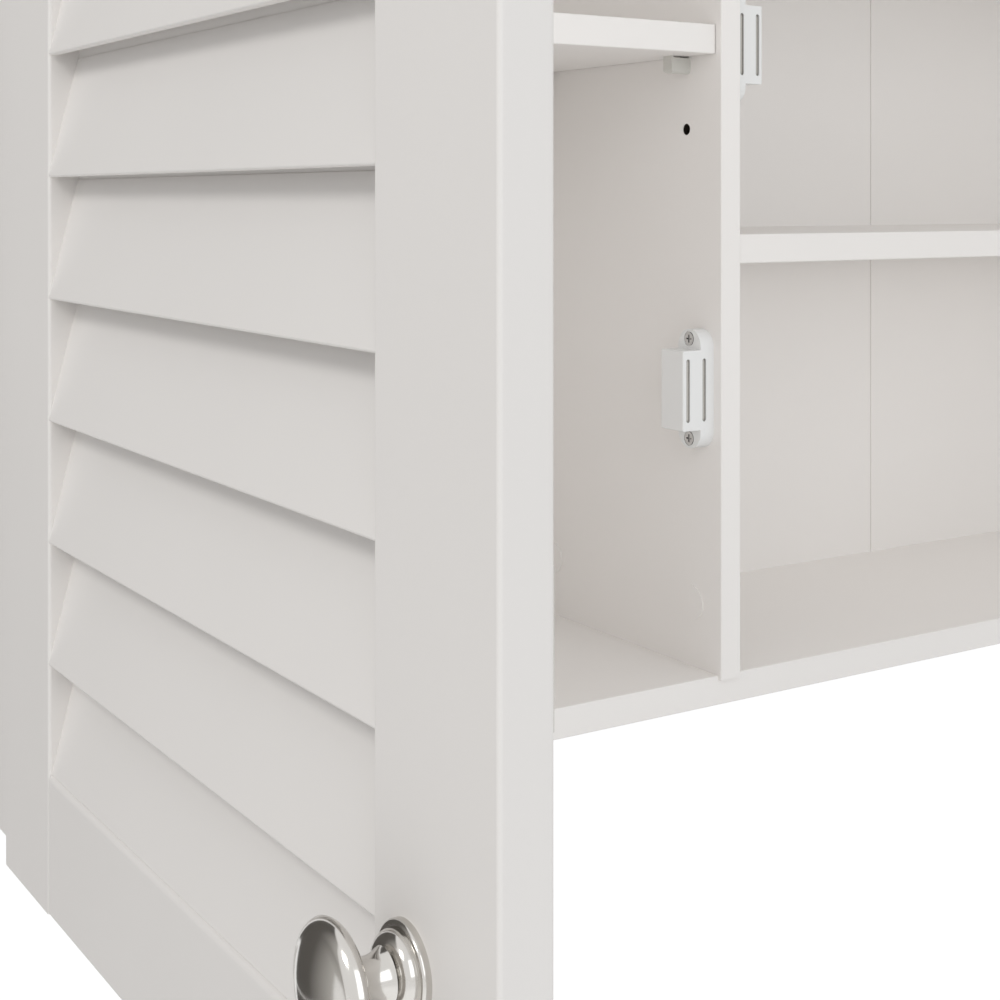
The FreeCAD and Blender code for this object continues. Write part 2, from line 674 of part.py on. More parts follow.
backing_x = (stile_inner[0] - BACKING_TONGUE, stile_inner[1] + BACKING_TONGUE)
backing_z = (BOTTOM_RAIL - BACKING_TONGUE, HEIGHT - TOP_RAIL + BACKING_TONGUE)
louvre_backing = block(backing_x, (DOOR_BACK - LOUVRE_BACKING, DOOR_BACK), backing_z)
slats = [slat(number).cut(louvre_backing) for number in range(SLATS)]
hinge_stile = cut_all(hinge_stile, slats).cut(louvre_backing)
free_stile = cut_all(free_stile, slats).cut(louvre_backing)
slats[0] = slats[0].cut(block(stile_inner, (DOOR_FACE, DOOR_BACK), (0, BOTTOM_RAIL)))
slats[-1] = slats[-1].cut(block(stile_inner, (DOOR_FACE, DOOR_BACK), (HEIGHT - TOP_RAIL, HEIGHT)))
bottom_rail = bottom_rail.cut(slats[0]).cut(louvre_backing)
top_rail = top_rail.cut(louvre_backing)

frame_dowels = []
door_mid_y = (DOOR_FACE + DOOR_BACK) / 2
for joint_x in stile_inner:
    for joint_z in (BOTTOM_RAIL / 2, HEIGHT - TOP_RAIL / 2):
        start = (joint_x - FRAME_DOWEL_HALF, door_mid_y, joint_z)
        frame_dowels.append(rod(start, X_DIR, 2 * FRAME_DOWEL_HALF, FRAME_DOWEL_RADIUS))
knob_x = LOUVRE_X[1] - KNOB_FROM_EDGE
louvre_screw, louvre_knob_hole = knob_screw(knob_x, KNOB_HEIGHT)
stile_tools = frame_dowels + louvre_holes + [louvre_knob_hole]
louvre["louvre_hinge_stile"] = cut_all(hinge_stile, stile_tools)
louvre["louvre_free_stile"] = cut_all(free_stile, stile_tools)
louvre["louvre_bottom_rail"] = cut_all(bottom_rail, frame_dowels)
louvre["louvre_top_rail"] = cut_all(top_rail, frame_dowels)
louvre["louvre_dowels"] = group(frame_dowels)
louvre["louvre_backing"] = louvre_backing
for number, made in enumerate(slats, 1):
    louvre[f"slat_{number:02d}"] = made
louvre["louvre_knob"] = knob(knob_x, KNOB_HEIGHT)
louvre["louvre_knob_screw"] = louvre_screw
louvre["louvre_strike"] = strike(DIVIDER_LEFT, -1, LEFT_CATCH_HEIGHT)
louvre["louvre_hinge_leaves"] = louvre_leaves
louvre["louvre_hinge_screws"] = louvre_hinge_screws

# Mirror door

mirror = {}
mirror_inner = (MIRROR_X[0] + MIRROR_STILE, MIRROR_X[1] - MIRROR_STILE)
rail_low = (0, MIRROR_STILE)
rail_high = (HEIGHT - MIRROR_STILE, HEIGHT)
sheet_x = (mirror_inner[0] - MIRROR_REBATE, mirror_inner[1] + MIRROR_REBATE)
sheet_z = (MIRROR_STILE - MIRROR_REBATE, HEIGHT - MIRROR_STILE + MIRROR_REBATE)
glass_front = DOOR_FACE + MIRROR_LIP
rebate = block(sheet_x, (glass_front, DOOR_BACK), sheet_z)
mirror_stile_shapes = {
    "mirror_free_stile": (MIRROR_X[0], mirror_inner[0]),
    "mirror_hinge_stile": (mirror_inner[1], MIRROR_X[1]),
}
mirror_knob_x = MIRROR_X[0] + MIRROR_STILE / 2
mirror_screw, mirror_knob_hole = knob_screw(mirror_knob_x, KNOB_HEIGHT)
for name, stile_x in mirror_stile_shapes.items():
    stile = frame_member(stile_x, (0, HEIGHT), lambda p: near(p.z, HEIGHT / 2))
    mirror[name] = cut_all(stile.cut(rebate), mirror_holes + [mirror_knob_hole])
low_rail = frame_member(mirror_inner, rail_low, lambda p: near(p.x, sum(mirror_inner) / 2))
high_rail = frame_member(mirror_inner, rail_high, lambda p: near(p.x, sum(mirror_inner) / 2))
mirror["mirror_bottom_rail"] = low_rail.cut(rebate)
mirror["mirror_top_rail"] = high_rail.cut(rebate)
pane_x = (sheet_x[0] + MIRROR_PLAY, sheet_x[1] - MIRROR_PLAY)
pane_z = (sheet_z[0] + MIRROR_PLAY, sheet_z[1] - MIRROR_PLAY)
glass_back = glass_front + MIRROR_THICK
mirror["mirror_glass"] = block(pane_x, (glass_front, glass_back), pane_z)
mirror["mirror_backing"] = block(sheet_x, (glass_back, glass_back + MIRROR_BACKING), sheet_z)
mirror["mirror_knob"] = knob(mirror_knob_x, KNOB_HEIGHT)
mirror["mirror_knob_screw"] = mirror_screw
mirror["mirror_strike"] = strike(DIVIDER_RIGHT, 1, RIGHT_CATCH_HEIGHT)
mirror["mirror_hinge_leaves"] = mirror_leaves
mirror["mirror_hinge_screws"] = mirror_hinge_screws

# Both doors swing open a quarter turn about their hinge pins

for shapes, axis_x, turn in ((louvre, LOUVRE_AXIS_X, -90), (mirror, MIRROR_AXIS_X, 90)):
    for name, shape in shapes.items():
        swung = shape.copy()
        swung.rotate(FreeCAD.Vector(axis_x, HINGE_Y, 0), Z_DIR, turn)
        nodes[name] = swung

nodes["left_side"] = left_side
nodes["right_side"] = right_side
nodes["top_panel"] = top_panel
nodes["bottom_panel"] = bottom_panel
nodes["divider"] = divider
nodes["back_board_left"] = back_left
nodes["back_board_right"] = back_right
nodes["back_joint_strip"] = joint_strip
nodes["hanging_rail"] = hanging_rail
nodes["left_shelf"] = left_shelf
nodes.update(right_shelves)
nodes["shelf_pins"] = group(pins)
nodes["cam_locks"] = group(cams)
nodes["cam_bolts"] = group(cam_bolts)
nodes["cover_caps"] = group(caps)
nodes["dowels"] = group(dowels)
nodes["catch_housings"] = group([catch_left, catch_right])
nodes["catch_poles"] = group(poles)
nodes["catch_magnets"] = group(magnets)
nodes["catch_screws"] = group(catch_screws)
nodes["louvre_fixed_leaves"] = louvre_fixed
nodes["mirror_fixed_leaves"] = mirror_fixed
nodes["hinge_pins"] = group(hinge_pins)
nodes["fixed_hinge_screws"] = group(fixed_screws)

os.makedirs("parts", exist_ok=True)
to_row_frame = FreeCAD.Vector(-WIDTH / 2, -DEPTH, -HANG_HEIGHT)
for name, shape in nodes.items():
    made = solids(shape).copy()
    made.translate(to_row_frame)
    if not made.isValid():
        raise ValueError(f"{name} is not a valid solid")
    made.exportStep(f"parts/{name}.step")
print(len(nodes), "nodes")
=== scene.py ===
"""Looks of a wall-hung bathroom mirror cabinet with a louvred door, laid out as an add-on."""

import math

import bmesh
import bpy
import numpy as np
from bpy.props import FloatProperty, FloatVectorProperty, IntProperty, PointerProperty
from bpy.types import Operator, Panel, PropertyGroup
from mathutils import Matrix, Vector


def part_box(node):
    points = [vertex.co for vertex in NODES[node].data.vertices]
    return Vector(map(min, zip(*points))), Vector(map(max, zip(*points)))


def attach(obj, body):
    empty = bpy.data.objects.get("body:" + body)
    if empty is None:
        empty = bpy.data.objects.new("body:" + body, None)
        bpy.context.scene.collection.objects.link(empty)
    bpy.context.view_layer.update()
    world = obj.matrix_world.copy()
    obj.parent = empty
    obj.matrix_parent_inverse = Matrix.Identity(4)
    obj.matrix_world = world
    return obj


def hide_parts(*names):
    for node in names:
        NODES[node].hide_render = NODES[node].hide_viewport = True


bl_info = {
    "name": "Mirror cabinet",
    "version": (1, 0, 0),
    "blender": (4, 5, 0),
    "location": "3D View, Sidebar, Cabinet",
    "description": "Paints, dresses and lights a wall-hung bathroom mirror cabinet",
    "category": "Object",
}

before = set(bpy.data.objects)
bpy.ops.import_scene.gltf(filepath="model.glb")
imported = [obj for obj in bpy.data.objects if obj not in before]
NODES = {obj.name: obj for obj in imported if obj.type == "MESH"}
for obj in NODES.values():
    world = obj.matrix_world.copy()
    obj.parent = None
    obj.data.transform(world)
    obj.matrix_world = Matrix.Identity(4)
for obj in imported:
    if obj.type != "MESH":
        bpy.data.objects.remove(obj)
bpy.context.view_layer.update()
MILLIMETRE = 0.001
CORE_INSET = 0.5 * MILLIMETRE

CARCASS_BOARDS = ("left_side", "right_side", "top_panel", "bottom_panel", "divider", "hanging_rail")
SHELVES = ("left_shelf", "lower_right_shelf", "upper_right_shelf")
BACK_BOARDS = ("back_board_left", "back_board_right")
LOUVRE_FRAME = ("louvre_hinge_stile", "louvre_free_stile", "louvre_bottom_rail", "louvre_top_rail")
SLATS = tuple(sorted(name for name in NODES if name.startswith("slat_")))
MIRROR_FRAME = ("mirror_hinge_stile", "mirror_free_stile", "mirror_bottom_rail", "mirror_top_rail")
HINGES = (
    "louvre_fixed_leaves",
    "louvre_hinge_leaves",
    "mirror_fixed_leaves",
    "mirror_hinge_leaves",
    "hinge_pins",
)
STRIKES = ("louvre_strike", "mirror_strike", "catch_poles")
SCREWS = (
    "fixed_hinge_screws",
    "louvre_hinge_screws",
    "mirror_hinge_screws",
    "catch_screws",
    "louvre_knob_screw",
    "mirror_knob_screw",
    "cam_locks",
    "cam_bolts",
)
DOWELS = ("dowels", "louvre_dowels")
CARCASS_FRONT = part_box("left_side")[0].y
CARCASS_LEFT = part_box("left_side")[0].x
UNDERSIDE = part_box("bottom_panel")[0].z
KNOB_LOW, KNOB_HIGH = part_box("louvre_knob")

# Knob's profile in millimetres: each arc by three points of radius and height, from the rosette to the rim
KNOB_TALL = 25.0
KNOB_FLANGE = 11.0
KNOB_ARCS = (
    ((11.0, 1.2), (10.7, 2.0), (9.9, 2.3)),
    ((9.3, 2.3), (8.6, 4.6), (6.3, 5.9)),
    ((6.3, 5.9), (5.1, 9.6), (6.0, 13.6)),
    ((6.0, 13.6), (8.2, 15.6), (11.2, 16.2)),
    ((11.2, 16.2), (14.4, 16.9), (15.4, 18.5)),
    ((15.4, 18.5), (14.8, 20.2), (12.6, 21.8)),
)
SHARP_EDGE = math.radians(35)

# Coats: paint on boards and doors, foil on sheets, moulded plastic
PAINT_COAT = {"cloudiness": 0.03, "peel_scale": 900.0, "peel_depth": 0.06 * MILLIMETRE}
FOIL_COAT = {"cloudiness": 0.04, "peel_scale": 1500.0, "peel_depth": 0.05 * MILLIMETRE}
PLASTIC_COAT = {"cloudiness": 0.02, "peel_scale": 2400.0, "peel_depth": 0.04 * MILLIMETRE}
PIN_COAT = {**PLASTIC_COAT, "cloudiness": 0.03}
FOIL_DULLER = 0.08
PLASTIC_ROUGHNESS = 0.33
PIN_ROUGHNESS = 0.3
COAT_BUMP = 0.25
COAT_GLOSS_SWING = 0.12
FIBRE_DARK = (0.23, 0.145, 0.082)
FIBRE_LIGHT = (0.33, 0.218, 0.13)
FIBRE_STOPS = (0.3, 0.7)

# Metals, wood and ferrite
NICKEL_ROUGHNESS = 0.22
NICKEL_STREAKS = (1400.0, 1400.0, 90.0)
ZINC = (0.62, 0.61, 0.60)
ZINC_ROUGHNESS = 0.26
ZINC_STREAKS = (700.0, 700.0, 700.0)
STREAK_GLOSS_SWING = 0.18
STREAK_BUMP = 0.2
STREAK_DEPTH = 0.04 * MILLIMETRE
# Painted shade: near-black mixed into the metals by ambient occlusion within this reach, in slots and
# inner corners
SLOT_SHADE = (0.035, 0.033, 0.03)
SLOT_SHADE_REACH = 1.5 * MILLIMETRE
FULL_SHADE_BELOW = 0.35
NO_SHADE_ABOVE = 0.95
CHROME = (0.64, 0.62, 0.59)
CHROME_SMEARS = {"Scale": 140.0, "Detail": 4.0, "Clear": 0.11, "Smeared": 0.17}
SILVERING = (0.70, 0.75, 0.75)
SILVERING_HAZE = {"Scale": 9.0, "Detail": 2.0, "Clear": 0.005, "Smeared": 0.03}
BEECH_DARK = (0.42, 0.27, 0.15)
BEECH_LIGHT = (0.68, 0.50, 0.32)
BEECH_GRAIN = (40.0, 700.0, 700.0)
BEECH_ROUGHNESS = 0.6
FERRITE_DARK = (0.03, 0.03, 0.03)
FERRITE_LIGHT = (0.07, 0.07, 0.07)
FERRITE_GRAIN = (900.0, 900.0, 900.0)
FERRITE_ROUGHNESS = 0.7
GRAIN_BUMP = 0.2
GRAIN_DEPTH = 0.1 * MILLIMETRE

# Stage
SENSOR_WIDTH = 36.0
NEAREST_SEEN = 0.01
FLOOR_CENTRE = (0.0, -1.0)
FLOOR_SPAN = 16.0
FLOOR_COLOUR = (0.92, 0.92, 0.92)
FLOOR_ROUGHNESS = 0.8
FLOOR_GLOW = 0.46
CARD_ACROSS = (0.91, 0.415, 0.0)
CARD_BACK = (-0.415, 0.91, 0.0)
UPWARDS = (0.0, 0.0, 1.0)
CARD_PALE = (0.75, 0.73, 0.70)
CARD_DARK = (0.16, 0.15, 0.14)
CARD_STOPS = (0.1, 0.6)
LEFT_CARD_PLACE = (-1.95, 1.03, 0.5)
LEFT_CARD_SIZE = (3.0, 4.0)
LOW_CARD_PLACE = (-1.57, 0.43)
LOW_CARD_SIZE = (2.8, 1.4)
CARD_ABOVE_FLOOR = 0.01
NEUTRAL = (1.0, 1.0, 1.0)

# Name, offset from the carcass's middle, direction, size, colour, and whether reflections show it
LAMPS = (
    ("key_lamp", (-2.05, -0.75, 1.30), (0.8, 0.3, -0.5), (0.6, 0.6), (1.0, 0.99, 0.97), True),
    ("front_lamp", (-0.30, -2.80, 0.95), (0.1, 0.94, -0.32), (2.4, 2.0), (0.95, 1.0, 1.04), True),
    ("inner_fill", (0.0, -0.42, 0.0), (0.0, 1.0, 0.0), (0.8, 0.6), NEUTRAL, False),
    ("side_fill", (-0.42, -0.24, 0.0), (1.0, 0.25, 0.0), (0.28, 0.55), NEUTRAL, False),
    ("shelf_fill", (0.176, 0.0, -0.115), (0.0, 0.0, -1.0), (0.44, 0.12), NEUTRAL, False),
)


class CabinetFinish(PropertyGroup):
    """Colours and gloss of the cabinet's surfaces."""

    paint: FloatVectorProperty(
        name="Paint",
        description="Satin off-white of the doors and boards",
        subtype="COLOR",
        size=3,
        default=(0.88, 0.852, 0.826),
        min=0.0,
        max=1.0,
    )
    plastic: FloatVectorProperty(
        name="Plastic",
        description="White of the catches",
        subtype="COLOR",
        size=3,
        default=(0.84, 0.83, 0.815),
        min=0.0,
        max=1.0,
    )
    pin_plastic: FloatVectorProperty(
        name="Pin plastic",
        description="Grey of the shelf pins",
        subtype="COLOR",
        size=3,
        default=(0.64, 0.63, 0.59),
        min=0.0,
        max=1.0,
    )
    # Raw core of drilled holes: partly the bare board's colour, partly painted shade, darkened to near
    # black so holes read dark
    core: FloatVectorProperty(
        name="Raw core",
        description="Bare board inside drilled holes",
        subtype="COLOR",
        size=3,
        default=(0.03, 0.022, 0.016),
        min=0.0,
        max=1.0,
    )
    nickel: FloatVectorProperty(
        name="Nickel",
        description="Satin nickel of the hinges and strikes",
        subtype="COLOR",
        size=3,
        default=(0.52, 0.50, 0.47),
        min=0.0,
        max=1.0,
    )
    paint_roughness: FloatProperty(
        name="Paint roughness",
        description="How dull the paint is",
        default=0.42,
        min=0.05,
        max=1.0,
    )


class KnobShape(PropertyGroup):
    """Sizes of the turned knobs."""

    head_radius: FloatProperty(
        name="Head radius",
        description="Half the width of the domed head",
        subtype="DISTANCE",
        default=(KNOB_HIGH.z - KNOB_LOW.z) / 2,
    )
    projection: FloatProperty(
        name="Projection",
        description="How far the knob stands out of the door",
        subtype="DISTANCE",
        default=KNOB_HIGH.x - KNOB_LOW.x,
    )
    turns: IntProperty(
        name="Steps round",
        description="Steps round the knob",
        default=96,
        min=12,
    )
    arc_steps: IntProperty(
        name="Steps per arc",
        description="Steps along each arc of the profile",
        default=12,
        min=3,
    )


class CabinetStage(PropertyGroup):
    """Camera, floor and light."""

    camera_left: FloatProperty(
        name="Camera left",
        description="How far the camera stands left of the cabinet's left side",
        subtype="DISTANCE",
        default=0.18995,
    )
    camera_front: FloatProperty(
        name="Camera in front",
        description="How far the camera stands in front of the carcass",
        subtype="DISTANCE",
        default=0.6387,
    )
    camera_height: FloatProperty(
        name="Camera height",
        description="Height of the camera above the cabinet's underside",
        subtype="DISTANCE",
        default=0.2573,
    )
    camera_turn: FloatProperty(
        name="Camera turn",
        description="Turn of the level camera to the right of straight ahead",
        subtype="ANGLE",
        default=math.radians(32.7),
    )
    lens: FloatProperty(
        name="Lens",
        description="Focal length on a 36 mm wide sensor",
        subtype="DISTANCE_CAMERA",
        default=59.02,
    )
    horizon_shift: FloatProperty(
        name="Horizon shift",
        description="Vertical shift that frames the level view",
        default=-0.301,
    )
    floor_drop: FloatProperty(
        name="Floor drop",
        description="Height of the cabinet's underside above the floor",
        subtype="DISTANCE",
        default=0.9,
        min=0.0,
    )
    sky: FloatProperty(
        name="Sky",
        description="Strength of the even studio light",
        default=0.59,
        min=0.0,
    )
    key_lamp: FloatProperty(
        name="Key lamp",
        description="Power of the lamp above on the left",
        subtype="POWER",
        default=11.5,
        min=0.0,
    )
    front_lamp: FloatProperty(
        name="Front lamp",
        description="Power of the wide lamp in front",
        subtype="POWER",
        default=15.5,
        min=0.0,
    )
    inner_fill: FloatProperty(
        name="Inner fill",
        description="Power of the panel before the shelves",
        subtype="POWER",
        default=0.20,
        min=0.0,
    )
    side_fill: FloatProperty(
        name="Side fill",
        description="Power of the panel behind the louvred door",
        subtype="POWER",
        default=0.26,
        min=0.0,
    )
    shelf_fill: FloatProperty(
        name="Shelf fill",
        description="Power of the panel under the lower shelf",
        subtype="POWER",
        default=0.05,
        min=0.0,
    )


def new_node(tree, kind, **settings):
    """Adds a node and sets its properties."""
    made = tree.nodes.new(kind)
    for name, value in settings.items():
        setattr(made, name, value)
    return made


def new_group(name, inputs, outputs):
    """Empty shader node group with named inputs and outputs of the given kinds."""
    tree = bpy.data.node_groups.new(name, "ShaderNodeTree")
    for label, kind, default in inputs:
        socket = tree.interface.new_socket(label, in_out="INPUT", socket_type=kind)
        socket.default_value = default
    for label, kind in outputs:
        tree.interface.new_socket(label, in_out="OUTPUT", socket_type=kind)
    return tree, new_node(tree, "NodeGroupInput"), new_node(tree, "NodeGroupOutput")


def two_tone_ramp(tree, stops, colours):
    """Colour ramp with two stops."""
    ramp = new_node(tree, "ShaderNodeValToRGB")
    for element, stop, colour in zip(ramp.color_ramp.elements, stops, colours):
        element.position = stop
        element.color = (*colour, 1.0)
    return ramp


def sprayed_coat_group():
    """Sprayed coat: slow cloudiness in colour and gloss, and a fine orange-peel height."""
    found = bpy.data.node_groups.get("SprayedCoat")
    if found:
        return found
    tree, given, out = new_group(
        "SprayedCoat",
        [
            ("Colour", "NodeSocketColor", (0.8, 0.8, 0.8, 1.0)),
            ("Cloudiness", "NodeSocketFloat", 0.03),
            ("Roughness", "NodeSocketFloat", 0.4),
            ("Peel scale", "NodeSocketFloat", 900.0),
        ],
        [("Colour", "NodeSocketColor"), ("Roughness", "NodeSocketFloat"), ("Height", "NodeSocketFloat")],
    )
    link = tree.links.new
    place = new_node(tree, "ShaderNodeTexCoord")
    cloud = new_node(tree, "ShaderNodeTexNoise")
    cloud.inputs["Scale"].default_value = 5.0
    cloud.inputs["Detail"].default_value = 3.0
    link(place.outputs["Object"], cloud.inputs["Vector"])
    shade = new_node(tree, "ShaderNodeHueSaturation")
    centred = new_node(tree, "ShaderNodeMath", operation="SUBTRACT")
    centred.inputs[1].default_value = 0.5
    link(cloud.outputs["Fac"], centred.inputs[0])
    change = new_node(tree, "ShaderNodeMath", operation="MULTIPLY_ADD")
    link(centred.outputs[0], change.inputs[0])
    link(given.outputs["Cloudiness"], change.inputs[1])
    change.inputs[2].default_value = 1.0
    link(change.outputs[0], shade.inputs["Value"])
    link(given.outputs["Colour"], shade.inputs["Color"])
    link(shade.outputs["Color"], out.inputs["Colour"])
    gloss = new_node(tree, "ShaderNodeMath", operation="MULTIPLY_ADD")
    link(centred.outputs[0], gloss.inputs[0])
    gloss.inputs[1].default_value = COAT_GLOSS_SWING
    link(given.outputs["Roughness"], gloss.inputs[2])
    link(gloss.outputs[0], out.inputs["Roughness"])
    peel = new_node(tree, "ShaderNodeTexNoise")
    peel.inputs["Detail"].default_value = 2.0
    link(given.outputs["Peel scale"], peel.inputs["Scale"])
    link(place.outputs["Object"], peel.inputs["Vector"])
    link(peel.outputs["Fac"], out.inputs["Height"])
    return tree


def raw_core_group():
    """Raw core: one for surface points that lie inside the given box on every side, else nothing."""
    found = bpy.data.node_groups.get("RawCore")
    if found:
        return found
    tree, given, out = new_group(
        "RawCore",
        [("Low", "NodeSocketVector", (0.0, 0.0, 0.0)), ("High", "NodeSocketVector", (1.0, 1.0, 1.0))],
        [("Mask", "NodeSocketFloat")],
    )
    link = tree.links.new
    place = new_node(tree, "ShaderNodeTexCoord")
    above = new_node(tree, "ShaderNodeVectorMath", operation="SUBTRACT")
    link(place.outputs["Object"], above.inputs[0])
    link(given.outputs["Low"], above.inputs[1])
    below = new_node(tree, "ShaderNodeVectorMath", operation="SUBTRACT")
    link(given.outputs["High"], below.inputs[0])
    link(place.outputs["Object"], below.inputs[1])
    nearest = new_node(tree, "ShaderNodeVectorMath", operation="MINIMUM")
    link(above.outputs[0], nearest.inputs[0])
    link(below.outputs[0], nearest.inputs[1])
    parts = new_node(tree, "ShaderNodeSeparateXYZ")
    link(nearest.outputs[0], parts.inputs[0])
    flat = new_node(tree, "ShaderNodeMath", operation="MINIMUM")
    link(parts.outputs["X"], flat.inputs[0])
    link(parts.outputs["Y"], flat.inputs[1])
    least = new_node(tree, "ShaderNodeMath", operation="MINIMUM")
    link(flat.outputs[0], least.inputs[0])
    link(parts.outputs["Z"], least.inputs[1])
    inside = new_node(tree, "ShaderNodeMath", operation="GREATER_THAN")
    inside.inputs[1].default_value = 0.0
    link(least.outputs[0], inside.inputs[0])
    link(inside.outputs[0], out.inputs["Mask"])
    return tree


def brushed_group():
    """Brushed metal: streaks drawn along one direction, as gloss and as height."""
    found = bpy.data.node_groups.get("BrushedStreaks")
    if found:
        return found
    tree, given, out = new_group(
        "BrushedStreaks",
        [
            ("Roughness", "NodeSocketFloat", 0.3),
            ("Streak scale", "NodeSocketVector", (900.0, 900.0, 60.0)),
        ],
        [("Roughness", "NodeSocketFloat"), ("Height", "NodeSocketFloat")],
    )
    link = tree.links.new
    place = new_node(tree, "ShaderNodeTexCoord")
    stretch = new_node(tree, "ShaderNodeVectorMath", operation="MULTIPLY")
    link(place.outputs["Object"], stretch.inputs[0])
    link(given.outputs["Streak scale"], stretch.inputs[1])
    streak = new_node(tree, "ShaderNodeTexNoise")
    streak.inputs["Scale"].default_value = 1.0
    streak.inputs["Detail"].default_value = 3.0
    link(stretch.outputs[0], streak.inputs["Vector"])
    gloss = new_node(tree, "ShaderNodeMath", operation="MULTIPLY_ADD")
    link(streak.outputs["Fac"], gloss.inputs[0])
    gloss.inputs[1].default_value = STREAK_GLOSS_SWING
    link(given.outputs["Roughness"], gloss.inputs[2])
    link(gloss.outputs[0], out.inputs["Roughness"])
    link(streak.outputs["Fac"], out.inputs["Height"])
    return tree


def tarnish_group():
    """Painted shade: the metal's own colour on open faces, painted dark by ambient occlusion in slots and
    inner corners.
    """
    found = bpy.data.node_groups.get("CornerTarnish")
    if found:
        return found
    tree, given, out = new_group(
        "CornerTarnish",
        [
            ("Colour", "NodeSocketColor", (0.6, 0.6, 0.6, 1.0)),
            ("Tarnish", "NodeSocketColor", (0.03, 0.03, 0.03, 1.0)),
            ("Reach", "NodeSocketFloat", 0.0015),
        ],
        [("Colour", "NodeSocketColor")],
    )
    link = tree.links.new
    # Painted shade: ambient occlusion darkens the colour where slots and corners hold shade
    corner = new_node(tree, "ShaderNodeAmbientOcclusion", samples=8)
    link(given.outputs["Reach"], corner.inputs["Distance"])
    clear = new_node(tree, "ShaderNodeMapRange")
    clear.inputs["From Min"].default_value = FULL_SHADE_BELOW
    clear.inputs["From Max"].default_value = NO_SHADE_ABOVE
    link(corner.outputs["AO"], clear.inputs["Value"])
    mix = new_node(tree, "ShaderNodeMix", data_type="RGBA")
    link(clear.outputs["Result"], mix.inputs["Factor"])
    link(given.outputs["Tarnish"], mix.inputs["A"])
    link(given.outputs["Colour"], mix.inputs["B"])
    link(mix.outputs["Result"], out.inputs["Colour"])
    return tree


def smear_group():
    """Smears: cloudy gloss between a clear and a smeared roughness."""
    found = bpy.data.node_groups.get("HandledSmears")
    if found:
        return found
    tree, given, out = new_group(
        "HandledSmears",
        [
            ("Scale", "NodeSocketFloat", 100.0),
            ("Detail", "NodeSocketFloat", 2.0),
            ("Clear", "NodeSocketFloat", 0.1),
            ("Smeared", "NodeSocketFloat", 0.2),
        ],
        [("Roughness", "NodeSocketFloat")],
    )
    link = tree.links.new
    place = new_node(tree, "ShaderNodeTexCoord")
    smear = new_node(tree, "ShaderNodeTexNoise")
    link(place.outputs["Object"], smear.inputs["Vector"])
    link(given.outputs["Scale"], smear.inputs["Scale"])
    link(given.outputs["Detail"], smear.inputs["Detail"])
    gloss = new_node(tree, "ShaderNodeMapRange")
    link(smear.outputs["Fac"], gloss.inputs["Value"])
    link(given.outputs["Clear"], gloss.inputs["To Min"])
    link(given.outputs["Smeared"], gloss.inputs["To Max"])
    link(gloss.outputs["Result"], out.inputs["Roughness"])
    return tree


def grain_group():
    """Grain: noise stretched along one direction, as a blend of two colours and as height."""
    found = bpy.data.node_groups.get("StretchedGrain")
    if found:
        return found
    tree, given, out = new_group(
        "StretchedGrain",
        [
            ("Dark", "NodeSocketColor", (0.1, 0.1, 0.1, 1.0)),
            ("Light", "NodeSocketColor", (0.5, 0.5, 0.5, 1.0)),
            ("Grain scale", "NodeSocketVector", (100.0, 100.0, 100.0)),
        ],
        [("Colour", "NodeSocketColor"), ("Height", "NodeSocketFloat")],
    )
    link = tree.links.new
    place = new_node(tree, "ShaderNodeTexCoord")
    stretch = new_node(tree, "ShaderNodeVectorMath", operation="MULTIPLY")
    link(place.outputs["Object"], stretch.inputs[0])
    link(given.outputs["Grain scale"], stretch.inputs[1])
    grain = new_node(tree, "ShaderNodeTexNoise")
    grain.inputs["Scale"].default_value = 1.0
    grain.inputs["Detail"].default_value = 5.0
    link(stretch.outputs[0], grain.inputs["Vector"])
    mix = new_node(tree, "ShaderNodeMix", data_type="RGBA")
    link(grain.outputs["Fac"], mix.inputs["Factor"])
    link(given.outputs["Dark"], mix.inputs["A"])
    link(given.outputs["Light"], mix.inputs["B"])
    link(mix.outputs["Result"], out.inputs["Colour"])
    link(grain.outputs["Fac"], out.inputs["Height"])
    return tree


def new_material(name):
    """Material with an empty tree, its surface shader and its output joined."""
    found = bpy.data.materials.new(name)
    found.use_nodes = True
    tree = found.node_tree
    tree.nodes.clear()
    shader = new_node(tree, "ShaderNodeBsdfPrincipled")
    out = new_node(tree, "ShaderNodeOutputMaterial")
    tree.links.new(shader.outputs["BSDF"], out.inputs["Surface"])
    return found, tree, shader


def add_bump(tree, shader, height, strength, depth):
    """Height of a surface as a bump of the given depth in metres."""
    bump = new_node(tree, "ShaderNodeBump")
    bump.inputs["Strength"].default_value = strength
    bump.inputs["Distance"].default_value = depth
    tree.links.new(height, bump.inputs["Height"])
    tree.links.new(bump.outputs["Normal"], shader.inputs["Normal"])


def coated_material(name, colour, roughness, cloudiness, peel_scale, peel_depth):
    """Painted, foiled or moulded white surface."""
    found, tree, shader = new_material(name)
    coat = new_node(tree, "ShaderNodeGroup", node_tree=sprayed_coat_group())
    coat.inputs["Colour"].default_value = (*colour, 1.0)
    coat.inputs["Cloudiness"].default_value = cloudiness
    coat.inputs["Roughness"].default_value = roughness
    coat.inputs["Peel scale"].default_value = peel_scale
    tree.links.new(coat.outputs["Colour"], shader.inputs["Base Color"])
    tree.links.new(coat.outputs["Roughness"], shader.inputs["Roughness"])
    add_bump(tree, shader, coat.outputs["Height"], COAT_BUMP, peel_depth)
    return found


def satin_paint():
    """Satin paint of the doors."""
    finish = bpy.context.scene.cabinet_finish
    return coated_material("satin_paint", finish.paint, finish.paint_roughness, **PAINT_COAT)


def white_foil(name):
    """Foil in the paint's colour, a little duller."""
    finish = bpy.context.scene.cabinet_finish
    return coated_material(name, finish.paint, finish.paint_roughness + FOIL_DULLER, **FOIL_COAT)


def board_foil():
    """Foil of the joint strip, the caps and the mirror's backing."""
    return white_foil("board_foil")


